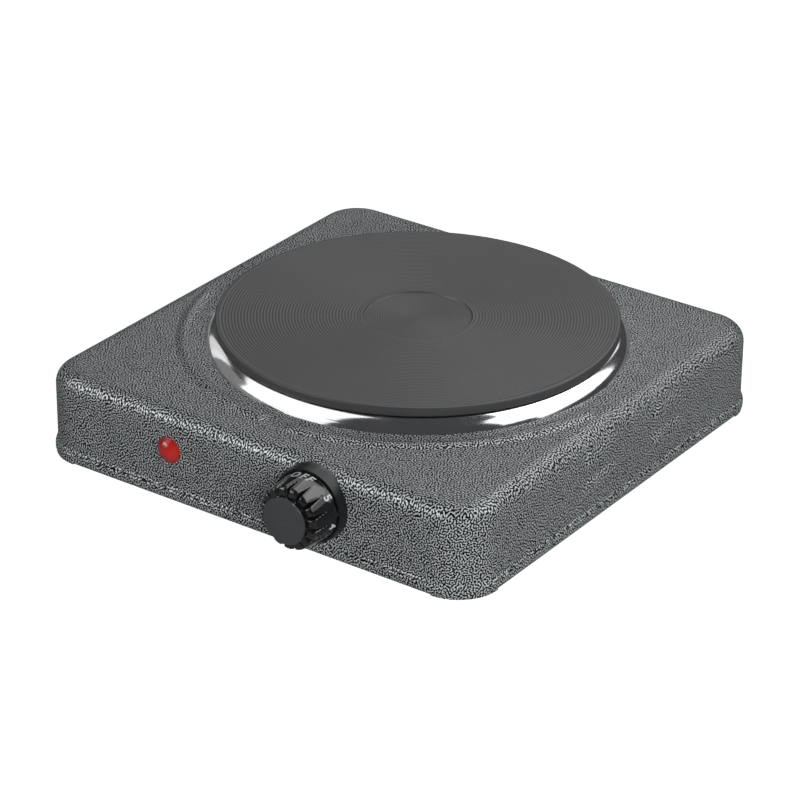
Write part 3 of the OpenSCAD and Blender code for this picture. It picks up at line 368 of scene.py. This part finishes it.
# A darker copy of the cap's matt grey: painted shade on the bezel.
grained("bezel_painted_shade_grey", (0.020, 0.022, 0.024), (0.015, 0.017, 0.018), (0.22, 0.32), 0.25 * MM,
        0.006 * MM, Specular_IOR_Level=0.25)
grained("black_rubber", (0.022, 0.022, 0.022), (0.014, 0.014, 0.014), (0.62, 0.80), 0.3 * MM, 0.015 * MM)
grained("brown_moulding", (0.17, 0.09, 0.06), (0.11, 0.055, 0.035), (0.35, 0.5), 0.4 * MM, 0.006 * MM)
grained("steatite", (0.86, 0.84, 0.79), (0.78, 0.75, 0.68), (0.55, 0.75), 0.2 * MM, 0.01 * MM)
grained("magnesia", (0.78, 0.74, 0.67), (0.60, 0.56, 0.49), (0.75, 0.9), 0.3 * MM, 0.04 * MM)
grained("white_print", (0.92, 0.92, 0.91), (0.86, 0.86, 0.85), (0.45, 0.6), 0.2 * MM, 0.004 * MM)
for name, tint in (("white_sleeve", (0.80, 0.80, 0.77)), ("brown_sleeve", (0.19, 0.085, 0.04)),
                   ("blue_sleeve", (0.05, 0.17, 0.42)), ("green_yellow_sleeve", (0.36, 0.46, 0.05))):
    grained(name, tint, tuple(0.8 * c for c in tint), (0.4, 0.55), 0.3 * MM, 0.006 * MM)

# %% Plated, rolled and stamped metals
grained("zinc_plate", (0.66, 0.67, 0.69), (0.50, 0.51, 0.53), (0.28, 0.45), 0.5 * MM, 0.004 * MM,
        patch=0.008, metallic=1.0)
grained("bright_sheet", (0.82, 0.82, 0.83), (0.72, 0.72, 0.73), (0.18, 0.30), 0.6 * MM, 0.003 * MM,
        metallic=1.0)
grained("nickel_plate", (0.70, 0.67, 0.62), (0.60, 0.57, 0.52), (0.2, 0.32), 0.4 * MM, 0.003 * MM,
        metallic=1.0)
grained("resistance_wire", (0.36, 0.34, 0.33), (0.24, 0.22, 0.21), (0.45, 0.6), 0.4 * MM, 0.03 * MM,
        metallic=0.8)
grained("stamped_brass", (0.78, 0.58, 0.27), (0.62, 0.44, 0.18), (0.25, 0.4), 0.4 * MM, 0.004 * MM,
        metallic=1.0)
grained("rolled_bimetal", (0.62, 0.51, 0.38), (0.50, 0.40, 0.29), (0.3, 0.45), 0.4 * MM, 0.004 * MM,
        metallic=1.0)

# %% [markdown]
# Two see-through finishes are left. The pilot lens is a red moulding that lets about half of the light
# through, so the wall of the moulding and what stands behind it both give it colour. The neon insert is
# plain glass.

# %% Red lens and neon glass
lens_finish = grained("red_lens", (1.0, 0.06, 0.04), (0.88, 0.03, 0.02), (0.03, 0.07), 0.8 * MM,
                      0.001 * MM)
lens_finish.surface(Transmission_Weight=0.45, IOR=1.49)
glass = grained("neon_glass", (0.93, 0.90, 0.86), (0.88, 0.84, 0.80), (0.05, 0.1), 0.8 * MM, 0.001 * MM)
glass.surface(Transmission_Weight=0.8, IOR=1.5)

# %% [markdown]
# The imported record names a material slot for each part. A short list says which finish each slot takes.
# The bezel shares a slot with the dial's cap, but gets a darker copy of its finish, which paints shade on the
# bezel.

# %% Finishes for the imported parts
finish_of_slot = {
    "painted_steel": "hammertone_enamel", "stainless_ring": "polished_stainless",
    "cast_iron": "blackened_iron", "resistance_wire": "resistance_wire", "magnesia": "magnesia",
    "zinc_steel": "zinc_plate", "bright_sheet": "bright_sheet", "nickel_steel": "nickel_plate",
    "white_ceramic": "steatite", "black_rubber": "black_rubber", "black_gloss": "glossy_black",
    "black_matt": "matt_dark_grey", "brown_moulding": "brown_moulding", "bimetal": "rolled_bimetal",
    "brass": "stamped_brass", "red_lens": "red_lens", "neon_glass": "neon_glass",
    "white_insulation": "white_sleeve", "brown_insulation": "brown_sleeve",
    "blue_insulation": "blue_sleeve", "green_yellow_insulation": "green_yellow_sleeve",
}
for part in frame["record"]["subparts"]:
    dress(nodes[part["node"]], finish_of_slot[part["material_slot"]])
# The bezel takes the darker copy of the cap's finish, as painted shade.
dress(nodes["knob_bezel"], "bezel_painted_shade_grey")
print("dressed", len(nodes), "packed parts")

# %% [markdown]
# The plate and the blank of the dial are round all over. They could be stacked from cylinders and
# cones, but every rounded edge between them would need a bevel of its own. So they are modelled the way
# a lathe makes them: one outline is drawn from the axis outwards and spun round. The outline starts as
# a plane whose corners are merged to a single point, which is then extruded from place to place. The
# spin closes on itself, so the doubled seam is merged afterwards.

# %% The lathe
WELD = 0.001 * MM


def turned(name, outline, at, axis, steps):
    """Spins an outline of (radius, height) points round an axis, and gives back the piece.

    at(radius, height) places a point of the outline in space, and the axis passes through at(0, 0).
    """
    bpy.ops.object.select_all(action="DESELECT")
    bpy.ops.mesh.primitive_plane_add(size=MM, location=at(*outline[0]))
    piece = bpy.context.object
    piece.name = piece.data.name = name
    bpy.ops.object.mode_set(mode="EDIT")
    bpy.ops.mesh.select_mode(type="VERT")
    bpy.ops.mesh.select_all(action="SELECT")
    bpy.ops.mesh.merge(type="CENTER")
    for here, there in zip(outline, outline[1:]):
        step = at(*there) - at(*here)
        bpy.ops.mesh.extrude_region_move(TRANSFORM_OT_translate={"value": step})
    bpy.ops.mesh.select_all(action="SELECT")
    bpy.ops.mesh.spin(steps=steps, angle=2 * math.pi, center=at(0, 0), axis=axis)
    bpy.ops.mesh.select_all(action="SELECT")
    bpy.ops.mesh.remove_doubles(threshold=WELD)
    bpy.ops.mesh.normals_make_consistent(inside=False)
    bpy.ops.object.mode_set(mode="OBJECT")
    bpy.ops.object.transform_apply(location=True, rotation=True, scale=True)
    print(name, "has", len(piece.data.polygons), "faces")
    return piece


def shaded_smooth(piece, sharp_over_deg):
    """Smooth shading that keeps edges sharper than an angle."""
    bpy.ops.object.select_all(action="DESELECT")
    piece.select_set(True)
    bpy.context.view_layer.objects.active = piece
    bpy.ops.object.shade_smooth_by_angle(angle=math.radians(sharp_over_deg))


# %% [markdown]
# The cooking plate keeps its packed size, and gets the fine grooves that the turning tool left in its
# face. A bump could draw them, but the mesh itself would stay flat. Here they are real geometry: one
# ridge and one hollow for each turn, wider apart outside the sunk centre than inside it. The rim's edge
# is rounded, and the underside has its grooves for the coils and the bore for the stud.

# %% Turned face of the plate
GROOVE_SHARE = 0.09
POINTS_PER_GROOVE = 6
PLATE_STEPS = 224
face_z = plate_high.z
RIM_H = 4 * MM
CASTING_R = 86 * MM
EDGE_R = 1 * MM
RECESS_DEPTH = 0.8 * MM
RECESS_EDGE = 1 * MM
STUD_BORE_R = 4.1 * MM
STUD_BORE_DEPTH = 9 * MM
COIL_RADII = [(32 + 14 * i) * MM for i in range(4)]
COIL_HALF = 4.5 * MM
COIL_DEPTH = 7.5 * MM


def ridges(r_from, r_to, pitch, level):
    """Points of a grooved face from one radius to another, with whole grooves between them."""
    count = round((r_to - r_from) / pitch) * POINTS_PER_GROOVE
    return [
        (r_from + (r_to - r_from) * i / count,
         level - GROOVE_SHARE * pitch * (0.5 - 0.5 * math.cos(2 * math.pi * i / POINTS_PER_GROOVE)))
        for i in range(count + 1)
    ]


def rounding(r, z, radius, start_deg, end_deg, points=6):
    """Points of an arc round (r, z)."""
    angles = [math.radians(start_deg + (end_deg - start_deg) * i / points) for i in range(points + 1)]
    return [(r + radius * math.cos(a), z + radius * math.sin(a)) for a in angles]


under_z = plate_low.z
outline = [(0, face_z - RECESS_DEPTH)]
outline += ridges(*centre_zone, face_z - RECESS_DEPTH)
outline += [(RECESS_R, face_z), (RECESS_R + RECESS_EDGE, face_z)]
outline += ridges(*face_zone, face_z)
outline += rounding(plate_r - EDGE_R, face_z - EDGE_R, EDGE_R, 90, 0)
outline += rounding(plate_r - EDGE_R / 2, face_z - RIM_H + EDGE_R / 2, EDGE_R / 2, 0, -90, points=3)
outline += [(CASTING_R, face_z - RIM_H), (CASTING_R, under_z)]
for r in reversed(COIL_RADII):
    outline += [(r + COIL_HALF, under_z), (r + COIL_HALF, under_z + COIL_DEPTH),
                (r - COIL_HALF, under_z + COIL_DEPTH), (r - COIL_HALF, under_z)]
outline += [(STUD_BORE_R, under_z), (STUD_BORE_R, under_z + STUD_BORE_DEPTH),
            (0, under_z + STUD_BORE_DEPTH)]


def on_plate(r, z):
    """A point at a radius and a height, to the right of the plate's axis."""
    return plate_axis + Vector((r, 0, z))


plate = turned("turned_plate", outline, on_plate, (0, 0, 1), PLATE_STEPS)
shaded_smooth(plate, sharp_over_deg=35)
dress(plate, "blackened_iron")
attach(plate, "base")
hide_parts("hot_plate")

# %% [markdown]
# The dial starts on the same lathe, as a skirt, a band and a cone, with a hollow round its hub. Its
# lobes could be fifteen bars set on the cone, but the moulding has no seams: the grip runs on smoothly
# from the band, and fifteen flutes are cut in it. So the points of the grip are moved outwards, away
# from the axis, to where a rule puts the surface. A flute starts as a point near the band and becomes
# wider and deeper towards the front. What stays between two flutes is a lobe, with a slightly round
# crown and an end that is rounded off.

# %% Lobes of the dial
joint = next(j for j in frame["joints"] if j["name"] == "dial_turn")
dial_axis = Vector(joint["pos_m"])
knob_low, knob_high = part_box("knob")
skirt_r = (knob_high.x - knob_low.x) / 2
skirt_back = knob_high.y
grip_front = knob_high.y - knob_low.y
SKIRT_EDGE = 0.6 * MM
SKIRT_ROUND = 0.15 * MM
BAND_STEP = 0.1 * MM
BAND_W = 3.4 * MM
BAND_TAPER = 0.4 * MM
band_end = SKIRT_EDGE + BAND_W
band_r = skirt_r - BAND_TAPER
HOLLOW_BACK_R = 14.3 * MM
HOLLOW_MID_R = 13.9 * MM
HOLLOW_FRONT_R = 9 * MM
HOLLOW_DEPTH = 11.6 * MM
HUB_R = 5.6 * MM
SHAFT_BORE_R = 3.1 * MM
SHAFT_BORE_DEPTH = 10.2 * MM
CONE_FRONT_R = 10.4 * MM
LOBES = 15
LOBE_TIP_R = 14.7 * MM
LOBE_EDGE = 2.0 * MM
LOBE_FALL = 0.8  # share of the edge's radius by which a lobe's end falls
LOBE_END_SHARE = 0.45  # share of its width that a lobe keeps at its end
LOBE_CROWN = 0.5 * MM
LOBE_STEP = 0.4 * MM
FLUTE_START = 0.14  # share of the grip's length
FLUTE_SHARE = 0.2  # share of the spacing, on each side of the flute's middle
FLUTE_DEPTH = 3.4 * MM
DIAL_STEPS = LOBES * 24
ROW_ANGLES_DEG = (88, 75, 60, 45, 30, 15, 0)
GRIP_ROWS = 14
ROW_SLACK = 0.01 * MM
SKIN_SLACK = 0.1 * MM
lobe_front = grip_front - LOBE_STEP


def on_dial(r, out, turn=0.0):
    """A point at a radius, a distance in front of the skirt's back and an angle from the top."""
    return Vector((dial_axis.x + r * math.sin(turn), skirt_back - out, dial_axis.z + r * math.cos(turn)))


def cone(out):
    """Radius of the cone between the lobes."""
    return band_r + (CONE_FRONT_R - band_r) * (out - band_end) / (grip_front - band_end)


def lobed(turn, out):
    """Radius of the grip at an angle and a distance in front of the skirt's back."""
    step = turn * LOBES / (2 * math.pi) % 1
    from_flute = min(step, 1 - step)
    along = (out - band_end) / (lobe_front - band_end)
    grown = max(0.0, (along - FLUTE_START) / (1 - FLUTE_START))
    past = min(1.0, max(0.0, 1 - (lobe_front - out) / LOBE_EDGE))
    kept = math.sqrt(1 - past ** 2)
    crest = band_r + (LOBE_TIP_R - band_r) * along - LOBE_EDGE * (1 - kept) * LOBE_FALL
    crest -= LOBE_CROWN * grown * (1 - 2 * from_flute) ** 2
    lobe_half = (0.5 - FLUTE_SHARE * grown) * (LOBE_END_SHARE + (1 - LOBE_END_SHARE) * kept)
    flute_half = 0.5 - lobe_half
    if from_flute >= flute_half:
        return crest
    bottom = min(crest, max(cone(out), crest - FLUTE_DEPTH * grown))
    return crest - (crest - bottom) * (0.5 + 0.5 * math.cos(math.pi * from_flute / flute_half))


edge_rows = [lobe_front - LOBE_EDGE * (1 - math.sin(math.radians(a))) for a in ROW_ANGLES_DEG]
long_rows = [edge_rows[-1] + (band_end - edge_rows[-1]) * i / GRIP_ROWS for i in range(1, GRIP_ROWS)]
outline = [(0, grip_front), (CONE_FRONT_R, grip_front), (cone(lobe_front), lobe_front)]
outline += [(cone(out), out) for out in edge_rows + long_rows]
outline += [
    (band_r, band_end), (skirt_r - SKIRT_ROUND, SKIRT_EDGE + BAND_STEP), (skirt_r, SKIRT_EDGE - BAND_STEP),
    (skirt_r, SKIRT_ROUND), (skirt_r - SKIRT_ROUND, 0), (HOLLOW_BACK_R, 0), (HOLLOW_MID_R, band_end),
    (HOLLOW_FRONT_R, HOLLOW_DEPTH), (HUB_R, HOLLOW_DEPTH), (HUB_R, 0), (SHAFT_BORE_R, 0),
    (SHAFT_BORE_R, SHAFT_BORE_DEPTH), (0, SHAFT_BORE_DEPTH),
]
dial = turned("lobed_dial", outline, on_dial, (0, 1, 0), DIAL_STEPS)
for vertex in dial.data.vertices:
    out = skirt_back - vertex.co.y
    x, z = vertex.co.x - dial_axis.x, vertex.co.z - dial_axis.z
    on_grip = long_rows[-1] - ROW_SLACK < out < edge_rows[0] + ROW_SLACK
    if on_grip and math.hypot(x, z) > cone(out) - SKIN_SLACK:
        turn = math.atan2(x, z)
        vertex.co = on_dial(lobed(turn, out), out, turn)
shaded_smooth(dial, sharp_over_deg=38)
dress(dial, "glossy_black")
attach(dial, "dial")
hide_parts("knob")

# %% [markdown]
# The dial's figures are printed on the band behind its grip. A bend modifier could curl text round the
# dial, but the band is also a cone. So each figure starts as text, becomes a mesh, and is cut into a
# fine net by bisecting it, so that it can follow both. Then every point is laid on the band: its height
# above the line runs along the dial's axis, towards the wall, and its place along the line turns it
# round that axis. The feet of the figures reach the plain start of the grip. A hair's thickness makes
# it a printed layer.

# %% Figures on the dial
LETTER_SIZE = 5.3 * MM
DIGIT_SIZE = 5.6 * MM
LETTER_SLANT = 0.25
LETTER_SPACING = 1.4
STROKE_GROWTH = 0.2 * MM
NET_PITCH = 0.4 * MM
PRINT_HEIGHT = 0.03 * MM
PRINT_THICKNESS = 0.02 * MM
NET_WELD = 0.002 * MM
FIGURE_LINE = 2.6 * MM  # in front of the skirt's back
figure_places = {"OFF": -4.5, "5": 54, "4": 104, "3": 154, "2": 204, "1": 254}


def on_band(x, y, turn_deg):
    """A point of the flat figure, laid on the band at its place round the dial."""
    out = FIGURE_LINE - y
    r = skirt_r - BAND_TAPER * (out - SKIRT_EDGE) / BAND_W
    if out > band_end:
        r = band_r + (LOBE_TIP_R - band_r) * (out - band_end) / (lobe_front - band_end)
    return on_dial(r + PRINT_HEIGHT, out, math.radians(turn_deg) + x / skirt_r)


def net(piece, pitch):
    """Cuts a flat piece into a net of small faces."""
    reach = max(abs(c) for v in piece.data.vertices for c in v.co[:2])
    bpy.ops.object.mode_set(mode="EDIT")
    for normal in (Vector((1, 0, 0)), Vector((0, 1, 0))):
        for i in range(-int(reach / pitch), int(reach / pitch) + 1):
            bpy.ops.mesh.select_all(action="SELECT")
            bpy.ops.mesh.bisect(plane_co=normal * i * pitch, plane_no=normal)
    bpy.ops.object.mode_set(mode="OBJECT")


figures = []
for text, turn_deg in figure_places.items():
    bpy.ops.object.select_all(action="DESELECT")
    bpy.ops.object.text_add(location=(0, 0, 0))
    figure = bpy.context.object
    figure.data.body = text
    figure.data.size = LETTER_SIZE if len(text) > 1 else DIGIT_SIZE
    figure.data.offset = STROKE_GROWTH
    figure.data.space_character = LETTER_SPACING
    figure.data.shear = LETTER_SLANT if len(text) > 1 else 0
    figure.data.align_x = "CENTER"
    figure.data.align_y = "CENTER"
    bpy.ops.object.convert(target="MESH")
    figure = bpy.context.object
    net(figure, NET_PITCH)
    for vertex in figure.data.vertices:
        vertex.co = on_band(vertex.co.x, vertex.co.y, turn_deg)
    figures.append(figure)

bpy.ops.object.select_all(action="DESELECT")
for figure in figures:
    figure.select_set(True)
bpy.context.view_layer.objects.active = figures[0]
bpy.ops.object.join()
print_layer = bpy.context.object
print_layer.name = print_layer.data.name = "dial_figures"
bpy.ops.object.mode_set(mode="EDIT")
bpy.ops.mesh.select_all(action="SELECT")
bpy.ops.mesh.remove_doubles(threshold=NET_WELD)
bpy.ops.object.mode_set(mode="OBJECT")
thickness = print_layer.modifiers.new("ink", "SOLIDIFY")
thickness.thickness = PRINT_THICKNESS
thickness.offset = 0
bpy.ops.object.modifier_apply(modifier="ink")
dress(print_layer, "white_print")
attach(print_layer, "dial")
print("figures:", len(print_layer.data.polygons), "faces")

# %% [markdown]
# The studio is a plain pale floor and soft light. The floor runs far beyond the view, so it is also the
# background. A little light of its own keeps it white for the camera. It is darker for the light that
# bounces off it, as if black cards stood just outside the view: they keep the lower edges of the housing
# from washing out.

# %% Floor
FLOOR_SIZE = 12
bpy.ops.object.select_all(action="DESELECT")
bpy.ops.mesh.primitive_plane_add(size=FLOOR_SIZE, location=(0, 0, 0))
floor = bpy.context.object
floor.name = floor.data.name = "floor"
pale = Finish("pale_floor")
place = pale.add("TexCoord")
mottle = pale.add("TexNoise", {"Vector": place.outputs["Object"], "Scale": 3.0, "Detail": 2.0})
seen = pale.add("LightPath")
tone = pale.add("Mix", {"Factor": mottle.outputs["Fac"], 6: (0.90, 0.90, 0.90, 1),
                        7: (0.92, 0.92, 0.92, 1)}, data_type="RGBA")
carded = pale.add("Mix", {"Factor": seen.outputs["Is Diffuse Ray"], 6: tone.outputs[2],
                          7: (0.20, 0.20, 0.21, 1)}, data_type="RGBA")
lifted = pale.add("Mix", {"Factor": seen.outputs["Is Camera Ray"], 6: (0, 0, 0, 1),
                          7: (0.9, 0.9, 0.9, 1)}, data_type="RGBA")
pale.surface(Base_Color=carded.outputs[2], Roughness=0.9, Specular_IOR_Level=0.1,
             Emission_Color=lifted.outputs[2], Emission_Strength=1.0)
dress(floor, "pale_floor")

# %% [markdown]
# Most lamps here are only seen in reflections. Panels on the left and on the right show in the polished
# ring as two white sweeps, with the dark of the studio between them, and dimmer cards make its grey
# parts. A bright strip on the left draws the line along the front edge. The object's own brightness
# comes from a soft fill beside the camera and a low one behind it for the far walls. Both are hidden
# from reflections.

# %% Lights
def softbox(name, azimuth_deg, elevation_deg, away, size, radiance, lean_deg, mirrored, lights_up):
    """A rectangular lamp that hangs in a direction round the object and faces it.

    Its power follows from its size and the brightness of its face.
    """
    a, e = math.radians(azimuth_deg), math.radians(elevation_deg)
    towards = Vector((math.cos(a) * math.cos(e), math.sin(a) * math.cos(e), math.sin(e)))
    light = bpy.data.lights.new(name, "AREA")
    light.shape = "RECTANGLE"
    light.size, light.size_y = size
    light.energy = radiance * math.pi * size[0] * size[1]
    lamp = bpy.data.objects.new(name, light)
    bpy.context.scene.collection.objects.link(lamp)
    facing = (-towards).to_track_quat("-Z", "Y").to_matrix()
    lamp.matrix_world = (Matrix.Translation(towards * away)
                         @ (facing @ Matrix.Rotation(math.radians(lean_deg), 3, "Z")).to_4x4())
    lamp.visible_camera = False
    lamp.visible_glossy = mirrored
    lamp.visible_diffuse = lights_up


# name: azimuth, elevation, distance, size, radiance and lean
reflected = {
    "left_panel": (218, 48, 1.6, (1.3, 1.4), 1.2, -50),
    "low_panel": (230, 26, 1.6, (1.6, 0.7), 1.1, 0),
    "left_line": (232, 32, 1.5, (0.9, 0.3), 6.5, 0),
    "side_strip": (167, 17, 1.7, (0.45, 0.85), 0.7, 0),
    "side_card": (195, 16, 2.2, (2.2, 1.1), 0.16, 0),
    "right_panel": (40, 40, 1.7, (2.0, 1.5), 1.3, 0),
    "right_wing": (3, 36, 1.7, (0.7, 0.8), 1.3, 0),
    "top_panel": (70, 58, 1.8, (2.4, 1.0), 2.3, 0),
    "back_panel": (112, 35, 1.9, (1.5, 0.9), 1.0, 0),
}
fills = {
    "front_fill": (316, 25, 2.2, (1.6, 0.9), 6.4, 0),
    "back_fill": (135, 8, 2.2, (1.6, 0.5), 5.0, 0),
}
for name, row in reflected.items():
    softbox(name, *row, mirrored=True, lights_up=False)
for name, row in fills.items():
    softbox(name, *row, mirrored=False, lights_up=True)

STUDIO_GLOW = 0.06
world = bpy.data.worlds.new("studio")
bpy.context.scene.world = world
world.use_nodes = True
world.node_tree.nodes["Background"].inputs["Color"].default_value = (0.95, 0.97, 1.0, 1)
world.node_tree.nodes["Background"].inputs["Strength"].default_value = STUDIO_GLOW
bpy.context.scene.view_settings.view_transform = "Standard"
